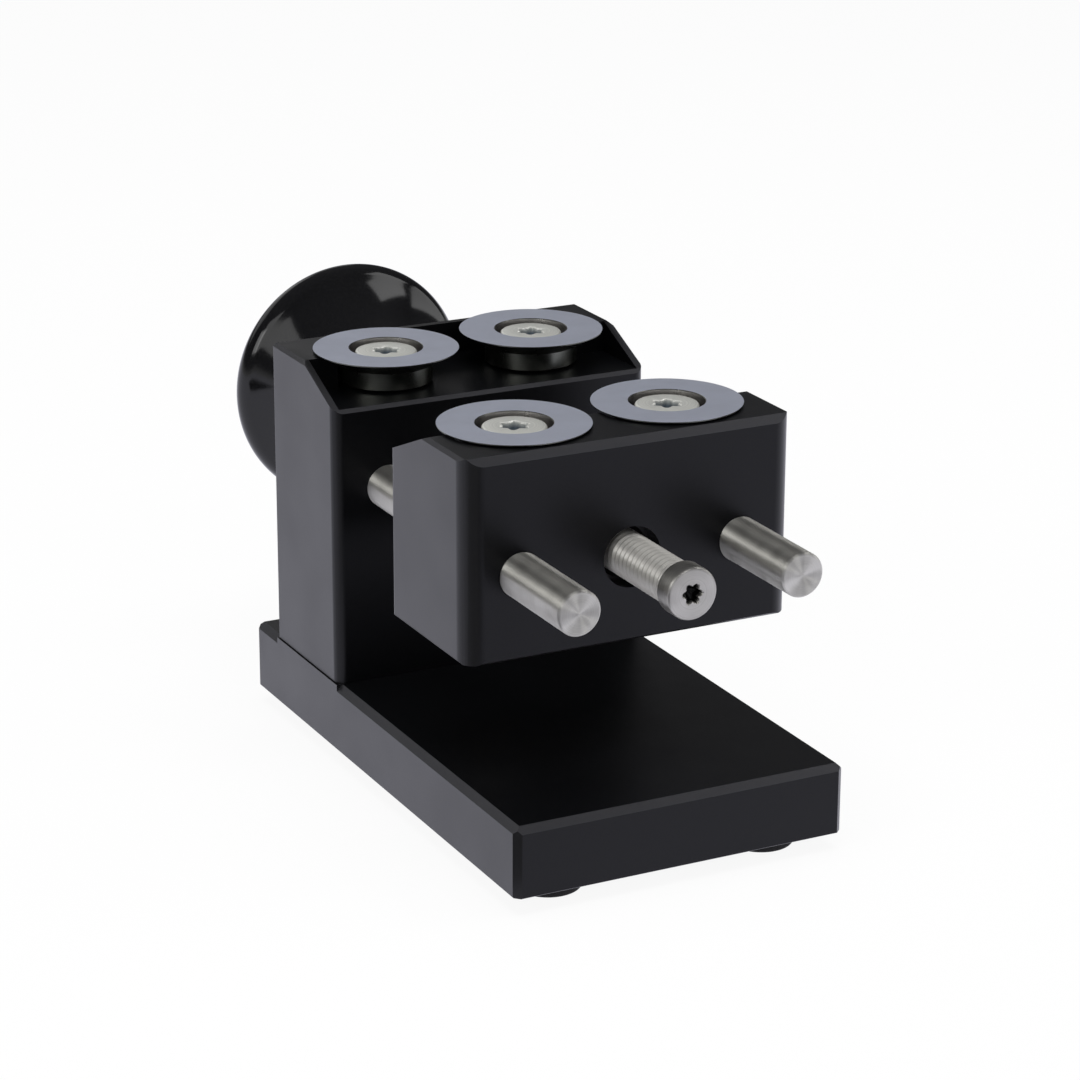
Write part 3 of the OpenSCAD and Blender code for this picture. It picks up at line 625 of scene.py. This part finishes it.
for spot, body in rollers:
    low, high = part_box("roller_" + spot)
    middle = (low + high) / 2
    disc_r, tall = (high.x - low.x) / 2 / mm, (high.z - low.z) / mm
    edge, web, rise = tall - knife_land, tall - cbore_depth, high.z - middle.z
    cone_low = edge - (disc_r - barrel_r) * math.tan(math.radians(knife_angle))
    # The dark barrel tone is darker steel, and partly painted shade under the disc.
    finish = turned_metal("roller steel " + spot, barrel_steel_and_shade, middle, upward,
                          roughness=0.30, grooves=0)
    lapped_top(finish, disc_steel, top=high.z - 0.01 * mm, roughness=0.55, metal=0.79)
    recess_tone(finish, bore_steel, radius=(cbore_r + 0.15) * mm,
                mouth=rise - 0.02 * mm, floor=rise - 0.2 * mm)
    disc = turned([
        (disc_bore_r, 0), (barrel_r - barrel_break, 0), (barrel_r, barrel_break),
        (barrel_r, cone_low), (disc_r, edge), (disc_r, tall), (cbore_r + cbore_break, tall),
        (cbore_r, tall - cbore_break), (cbore_r, web), (disc_bore_r, web),
    ], closed=True, around=144)
    disc = set_down(disc, (middle.x, middle.y, low.z), upward)
    add_piece("knife_roller_" + spot, disc, finish, "roller_" + spot, "roller_steel",
              "roller_" + spot)

# Roller screws: zinc plated low-head screws with a six-lobed recess, one down
# the middle of each sleeve. The plating is a pale grey with a warm cast.
zinc, zinc_painted_shade = (0.87, 0.875, 0.82), (0.22, 0.26, 0.30)
low_head_r, low_head_h, low_shank_r, low_key_r = 4.25, 3.1, 2.5, 2.0
screw_tip, head_rim = 0.5, [(0, 0.42), (0.05, 0.2), (0.18, 0.06), (0.36, 0)]
key_land, key_mouth = 0.45, [(0.22, 0), (0.05, 0.12), (0, 0.3)]
key_foot = [("lobed", 1, 0), ("lobed", 0.8, 0.08), ("round", 0.3, 0.4)]


def low_head_rows(length, head_r, head_h, shank_r, key_r, key_depth):
    """Rings of a low cylinder head screw with a six-lobed recess."""
    top = length + head_h
    return [
        ("round", shank_r - screw_tip, 0), ("round", shank_r, screw_tip),
        ("round", shank_r, length), ("round", head_r, length),
        *[("round", head_r - inset, top - drop) for inset, drop in head_rim],
        ("round", key_r + key_land, top),
        *[("lobed", key_r + spread, top - drop) for spread, drop in key_mouth],
        *[(shape, key_r * share, top - key_depth - drop) for shape, share, drop in key_foot],
    ]


for spot, body in rollers:
    low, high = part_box("roller_screw_" + spot)
    middle = (low + high) / 2
    length = (high.z - low.z) / mm - low_head_h
    rise = high.z - middle.z
    finish = turned_metal("zinc plate " + spot, zinc, middle, upward, roughness=0.36, grooves=0,
                          rings=5200.0, depth=0.000008, metal=0.6)
    # Painted shade: the six-lobed recess is coloured darker the deeper it goes.
    recess_tone(finish, zinc_painted_shade, radius=(low_key_r + 0.05) * mm,
                mouth=rise - 0.1 * mm, floor=rise - 0.9 * mm)
    rows = low_head_rows(length, low_head_r, low_head_h, low_shank_r, low_key_r, key_depth=1.8)
    screw = set_down(ringed(rows), (middle.x, middle.y, low.z), upward)
    add_piece("low_head_screw_" + spot, screw, finish, body, "zinc_screw", "roller_screw_" + spot)

# Moving jaw: an aluminium block like the upright, which slides on the guide
# pins. Its front is plain, with the corners rounded and the top edge eased.
front_block = add_piece("moving_jaw_body", merged_copy("moving_jaw"), jaw_finish, "jaw",
                        "anodised_jaw", "moving_jaw")
break_edges(front_block, jaw_edge_break)

# Spindle nut and its grub screw: a blackened steel nut in the moving jaw, kept
# from turning by a black grub screw from below.
nut_bore_r, nut_lead = 3.05, 0.5
grub_r, grub_key_r, grub_tip, grub_rim, grub_land = 2.0, 1.1, 0.5, 0.3, 0.3
low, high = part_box("spindle_nut")
nut_r, nut_l, nut_mouth_r = (high.x - low.x) / 2 / mm, (high.y - low.y) / mm, nut_bore_r + nut_lead
nut = turned([(nut_bore_r, nut_lead), (nut_mouth_r, 0), (nut_r, 0), (nut_r, nut_l),
              (nut_mouth_r, nut_l), (nut_bore_r, nut_l - nut_lead)], closed=True)
nut = set_down(nut, (drive.x, low.y, drive.z), rearward)
add_piece("nut_sleeve", nut, screw_black, "jaw", "black_screw", "spindle_nut")


def grub_rows(length):
    """Rings of a grub screw that stands on its chamfered end."""
    return [
        ("round", grub_r - grub_tip, 0), ("round", grub_r, grub_tip),
        ("round", grub_r, length - grub_rim), ("round", grub_r - grub_rim, length),
        ("round", grub_key_r + grub_land, length),
    ] + hex_socket(grub_key_r, length, lead=0.2, depth=1.4, cone=0.2)


low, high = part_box("nut_grub_screw")
middle = (low + high) / 2
grub = ringed(grub_rows((high.z - low.z) / mm))
grub = set_down(grub, (middle.x, middle.y, high.z), downward)
add_piece("nut_lock_screw", grub, screw_black, "jaw", "black_screw", "nut_grub_screw")

# Spindle: a steel shaft with a rolled 1 mm pitch thread in front, a shoulder and
# journal that run in the upright, and a plain end that the knob is fixed on.
spindle_steel = (0.62, 0.605, 0.57)
thread_pitch, thread_r, thread_depth, tooth_steps, spare_turns = 1.0, 3.0, 0.22, 8, 3
core_r, core_overlap, shoulder_r, shoulder_l, shoulder_break = 2.3, 1.0, 5.5, 3.0, 0.3
journal_r, seat_r, seat_break, washer_play = 4.0, 3.0, 0.5, 0.05


def threaded_rod(start, end, radius, depth, pitch, around=48):
    """A right-hand threaded rod along z, wound by a spin and cut square."""
    turns = int((end - start) / pitch) + spare_turns
    first = start - spare_turns / 2 * pitch
    bm = bmesh.new()
    points = []
    for step in range(turns * tooth_steps + 1):
        r = radius - depth * (1 - math.cos(math.tau * step / tooth_steps)) / 2
        points.append(bm.verts.new((r * mm, 0, (first + step / tooth_steps * pitch) * mm)))
    edges = [bm.edges.new(pair) for pair in zip(points, points[1:])]
    bmesh.ops.spin(
        bm, geom=points + edges, cent=(0, 0, 0), axis=(0, 0, 1), angle=math.tau,
        dvec=(0, 0, pitch * mm / around), steps=around, use_merge=False, use_duplicate=False,
    )
    bmesh.ops.remove_doubles(bm, verts=bm.verts, dist=0.002 * mm)
    for height, keep in ((start, 1), (end, -1)):
        every = list(bm.verts) + list(bm.edges) + list(bm.faces)
        cut = bmesh.ops.bisect_plane(
            bm, geom=every, dist=0.0001 * mm, plane_co=(0, 0, height * mm),
            plane_no=(0, 0, -keep), clear_outer=True,
        )["geom_cut"]
        rim = [e for e in cut if isinstance(e, bmesh.types.BMEdge)]
        bmesh.ops.edgeloop_fill(bm, edges=rim)
    bmesh.ops.recalc_face_normals(bm, faces=bm.faces)
    return bm


low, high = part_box("spindle")
spindle_start, spindle_end = low.y / mm, high.y / mm
shoulder_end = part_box("front_thrust_washer")[0].y / mm - washer_play
shoulder_start = shoulder_end - shoulder_l
knob_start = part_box("rear_thrust_washer")[1].y / mm + washer_play
thread_end = shoulder_start - 2 * thread_pitch
thread = threaded_rod(0, thread_end - spindle_start, thread_r, thread_depth, thread_pitch)
shaft = [
    (0, thread_end - core_overlap), (core_r, thread_end - core_overlap),
    (core_r, shoulder_start), (shoulder_r - shoulder_break, shoulder_start),
    (shoulder_r, shoulder_start + shoulder_break), (shoulder_r, shoulder_end),
    (journal_r, shoulder_end), (journal_r, knob_start), (seat_r, knob_start),
    (seat_r, spindle_end - seat_break), (seat_r - seat_break, spindle_end), (0, spindle_end),
]
tail = turned([(r, along - spindle_start) for r, along in shaft])
spindle = set_down(into(thread, tail), (drive.x, low.y, drive.z), rearward)
spindle_finish = turned_metal("spindle steel", spindle_steel, drive, rearward,
                              roughness=0.48, grooves=0.9, rings=7000.0, metal=0.68)
add_piece("threaded_spindle", spindle, spindle_finish, "knob", "turned_steel", "spindle",
          smooth_below=24)

# Stop screw: a bright low-head screw with a six-lobed recess in the spindle's
# front end. Its head keeps the jaw from running off the thread.
stop_steel, stop_painted_shade = (0.47, 0.46, 0.43), (0.03, 0.03, 0.03)
stop_h, stop_shank_r, stop_key_r = 2.8, 2.0, 1.35
low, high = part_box("end_screw")
stop_r, stop_length = (high.x - low.x) / 2 / mm, (high.y - low.y) / mm - stop_h
reach = low.y - drive.y
stop_finish = turned_metal("stop screw steel", stop_steel, drive, rearward,
                           roughness=0.42, grooves=0.7, rings=6000.0, depth=0.000004)
# Painted shade: the six-lobed recess is coloured near black the deeper it goes.
recess_tone(stop_finish, stop_painted_shade, radius=(stop_key_r + 0.1) * mm,
            mouth=reach + 0.1 * mm, floor=reach + 0.8 * mm)
rows = low_head_rows(stop_length, stop_r, stop_h, stop_shank_r, stop_key_r, key_depth=1.6)
stop = set_down(ringed(rows), (drive.x, high.y, drive.z), forward)
add_piece("stop_screw", stop, stop_finish, "knob", "stop_screw_steel", "end_screw")

# Knob: moulded in gloss black plastic round a brass insert. A short hub runs
# out through a hollow flare to a rounded rim, and the back is domed.
knob_r, hub_r, hub_l, hub_round, insert_r, bore_break = 17.9, 8.5, 8.4, 0.5, 5.5, 0.15
flare_r, rim_r, crown_h = 19.0, 2.6, 7.6
gloss_dark, gloss_light = (0.0032, 0.0032, 0.0038), (0.0068, 0.0068, 0.0076)


def knob_profile():
    """The knob's half section, from the hub's bore round the rim to the crown."""
    flare_c, rim_c = hub_r + flare_r, knob_r - rim_r
    rim_y = hub_l + math.sqrt((flare_r + rim_r) ** 2 - (flare_c - rim_c) ** 2)
    fall = (rim_c ** 2 - (crown_h - rim_r) ** 2) / (2 * (crown_h - rim_r))
    crown_r, crown_y = fall + crown_h, rim_y - fall
    meet = math.degrees(math.atan2(rim_y - hub_l, rim_c - flare_c))
    over = math.degrees(math.atan2(rim_y - crown_y, rim_c))
    points = [(insert_r, bore_break), (insert_r + bore_break, 0), (hub_r - hub_round, 0)]
    points += arc((hub_r - hub_round, hub_round), hub_round, -70, 0, steps=5)
    points += arc((flare_c, hub_l), flare_r, 180, meet, steps=30)
    points += arc((rim_c, rim_y), rim_r, meet - 180, over, steps=26)[1:]
    points += arc((0, crown_y), crown_r, over, 90, steps=24)[1:-1]
    return points + [(0, crown_y + crown_r)]


def moulded_gloss(name):
    """Polished black thermoset: near mirror gloss, a faint ripple and fine dust."""
    finish, tree, shader = new_finish(name, Specular_IOR_Level=0.4)
    place = add_node(tree, "ShaderNodeTexCoord")
    ripple = add_node(tree, "ShaderNodeTexNoise", {"Scale": 160.0, "Detail": 2.0})
    speck = add_node(tree, "ShaderNodeTexNoise", {"Scale": 3500.0, "Detail": 2.0})
    tones = colour_ramp(tree, (0.35, gloss_dark), (0.8, gloss_light))
    bump = add_node(tree, "ShaderNodeBump", {"Strength": 0.5, "Distance": 0.00002})
    sheen = add_node(tree, "ShaderNodeMapRange", {
        "From Min": 0.3, "From Max": 0.75, "To Min": 0.09, "To Max": 0.13,
    })
    wire(
        tree,
        ((place, "Object"), (ripple, "Vector")), ((place, "Object"), (speck, "Vector")),
        ((speck, "Fac"), (tones, "Fac")), ((tones, "Color"), (shader, "Base Color")),
        ((ripple, "Fac"), (bump, "Height")), ((bump, "Normal"), (shader, "Normal")),
        ((speck, "Fac"), (sheen, "Value")), ((sheen, "Result"), (shader, "Roughness")),
    )
    return finish


low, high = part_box("knob")
insert_low, insert_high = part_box("knob_insert")
insert_l = (insert_high.y - insert_low.y) / mm
outline = knob_profile() + [(0, insert_l), (insert_r, insert_l)]
knob = set_down(turned(outline, closed=True, around=160), (drive.x, low.y, drive.z), rearward)
add_piece("knob_body", knob, moulded_gloss("moulded black gloss"), "knob", "knob_plastic",
          "knob", smooth_below=40)

# Knob insert and grub screw: a turned brass boss inside the hub, which a black
# grub screw locks on the spindle.
brass, boss_bore_r, boss_bore_l = (0.58, 0.42, 0.17), 3.02, 18.5
brass_finish = turned_metal("insert brass", brass, drive, rearward, roughness=0.3, grooves=0.4)
boss = turned([(boss_bore_r, 0), (insert_r, 0), (insert_r, insert_l), (0, insert_l),
               (0, boss_bore_l), (boss_bore_r, boss_bore_l)], closed=True)
boss = set_down(boss, (drive.x, insert_low.y, drive.z), rearward)
add_piece("hub_insert", boss, brass_finish, "knob", "bronze", "knob_insert")
low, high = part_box("knob_grub_screw")
middle = (low + high) / 2
lock = ringed(grub_rows((high.z - low.z) / mm))
lock = set_down(lock, (middle.x, middle.y, low.z), upward)
add_piece("hub_lock_screw", lock, screw_black, "knob", "black_screw", "knob_grub_screw")

# Floor: a plain white sweep that runs out of sight on every side. It is seen as
# white, also in the metal, and still takes the tool's soft shadow.
floor_r, paper_white, shown_share = 6.0, (0.97, 0.97, 0.97, 1), 0.92
plain_white, cool_white = (1, 1, 1, 1), (1, 1, 1.13, 1)


def add_card(name, bm, finish):
    """Makes an object of the studio, which is no part of the tool."""
    mesh = bpy.data.meshes.new(name)
    bm.to_mesh(mesh)
    bm.free()
    mesh.materials.append(finish)
    card = bpy.data.objects.new(name, mesh)
    bpy.context.scene.collection.objects.link(card)
    return card


white_paper = bpy.data.materials.new("white floor")
white_paper.use_nodes = True
tree = white_paper.node_tree
tree.nodes.clear()
paper = add_node(tree, "ShaderNodeBsdfDiffuse", {"Color": paper_white})
lit = add_node(tree, "ShaderNodeEmission", {"Strength": 1.0})
rays = add_node(tree, "ShaderNodeLightPath")
cool = add_node(tree, "ShaderNodeMix", {"A": plain_white, "B": cool_white}, data_type="RGBA")
seen = add_node(tree, "ShaderNodeMath", operation="MAXIMUM")
shown = add_node(tree, "ShaderNodeMath", operation="MAXIMUM")
share = add_node(tree, "ShaderNodeMath", {1: shown_share}, operation="MULTIPLY")
blend = add_node(tree, "ShaderNodeMixShader")
out = add_node(tree, "ShaderNodeOutputMaterial")
wire(
    tree,
    ((rays, "Is Glossy Ray"), (cool, "Factor")), ((cool, "Result"), (lit, "Color")),
    ((rays, "Is Camera Ray"), (seen, 0)), ((rays, "Is Glossy Ray"), (seen, 1)),
    ((seen, 0), (shown, 0)), ((rays, "Is Transmission Ray"), (shown, 1)),
    ((shown, 0), (share, 0)), ((share, 0), (blend, 0)),
    ((paper, 0), (blend, 1)), ((lit, 0), (blend, 2)), ((blend, 0), (out, 0)),
)
bm = bmesh.new()
bmesh.ops.create_circle(bm, cap_ends=True, radius=floor_r, segments=96)
floor = add_card("floor", bm, white_paper)

# Black flag: a dark card laid on the floor in front of the left corner, out of
# the camera's sight. Rounded corners mirror it, which draws their dark lines.
flag_black, flag_height = (0.01, 0.01, 0.01, 1), 1
flag_corners = [(-30, -54), (-30, -100), (-18, -105), (-15, -450), (-450, -450), (-450, -150)]
flag_cloth = new_finish("flag cloth", Base_Color=flag_black, Roughness=1.0)[0]
bm = bmesh.new()
corners = [bm.verts.new((x * mm, y * mm, flag_height * mm)) for x, y in flag_corners]
bmesh.ops.contextual_create(bm, geom=corners)
bmesh.ops.recalc_face_normals(bm, faces=bm.faces)
flag = add_card("black flag", bm, flag_cloth)
flag.visible_camera = flag.visible_diffuse = flag.visible_shadow = False

# Studio: a room that is pale at the horizon and dim above, a wide lamp overhead
# that lights without being mirrored, and seven softboxes round the tool that are.
room_tones = [(0.01, (0.7, 0.7, 0.7)), (0.09, (0.09, 0.09, 0.0945)),
              (0.45, (0.06, 0.06, 0.063)), (0.8, (0.13, 0.13, 0.135))]
jaw_middle, roller_middle = (0, 0, 0.03), (0, 0, 0.05)
world = bpy.data.worlds.new("studio")
bpy.context.scene.world = world
world.use_nodes = True
tree = world.node_tree
tree.nodes.clear()
way = add_node(tree, "ShaderNodeTexCoord")
split = add_node(tree, "ShaderNodeSeparateXYZ")
room = colour_ramp(tree, *room_tones)
rays = add_node(tree, "ShaderNodeLightPath")
view = add_node(tree, "ShaderNodeMix", {"B": plain_white}, data_type="RGBA")
back = add_node(tree, "ShaderNodeBackground", {"Strength": 1.0})
out = add_node(tree, "ShaderNodeOutputWorld")
wire(
    tree,
    ((way, "Generated"), (split, 0)), ((split, "Z"), (room, "Fac")),
    ((room, "Color"), (view, "A")), ((rays, "Is Camera Ray"), (view, "Factor")),
    ((view, "Result"), (back, "Color")), ((back, 0), (out, 0)),
)
lamps = [
    ("overhead softbox", (0, -0.05, 0.9), jaw_middle, 0.8, 0.7, 6.0, False),
    ("high right strip", (0.69, -0.25, 0.69), jaw_middle, 0.36, 0.36, 0.95, True),
    ("front softbox", (0.1, -0.85, 0.6), jaw_middle, 0.4, 0.4, 1.0, True),
    ("side softbox", (-0.85, -0.2, 0.45), jaw_middle, 0.4, 0.3, 1.2, True),
    ("left softbox", (-0.75, -0.52, 0.55), jaw_middle, 0.6, 0.5, 1.6, True),
    ("right softbox", (0.95, -0.15, 0.3), jaw_middle, 0.4, 0.4, 0.8, True),
    ("back softbox", (-0.28, 0.85, 0.45), jaw_middle, 0.8, 0.4, 0.7, True),
    ("low back softbox", (0.16, 0.95, 0.35), roller_middle, 0.5, 0.3, 0.15, True),
]
for name, where, aim, wide, tall, power, mirrored in lamps:
    light = bpy.data.lights.new(name, "AREA")
    light.shape = "RECTANGLE"
    light.size, light.size_y = wide, tall
    light.energy = power
    lamp = bpy.data.objects.new(name, light)
    lamp.location = where
    facing = Vector(where) - Vector(aim)
    lamp.rotation_euler = facing.to_track_quat("Z", "Y").to_euler()
    lamp.visible_camera, lamp.visible_glossy = False, mirrored
    bpy.context.scene.collection.objects.link(lamp)

# Camera: at the photograph's place, a long lens from the front left, looking
# slightly down.
lens = bpy.data.cameras.new("photo view")
lens.sensor_width = 36.0
lens.lens = 115.64
lens.shift_y = -0.0106
lens.clip_start, lens.clip_end = 0.01, 40.0
camera = bpy.data.objects.new("photo view", lens)
camera.location = (-0.200014, -0.406589, 0.184724)
camera.rotation_euler = [math.radians(turn) for turn in (71.2721, -0.2013, -26.9422)]
bpy.context.scene.collection.objects.link(camera)
bpy.context.scene.camera = camera
bpy.context.scene.view_settings.view_transform = "Standard"
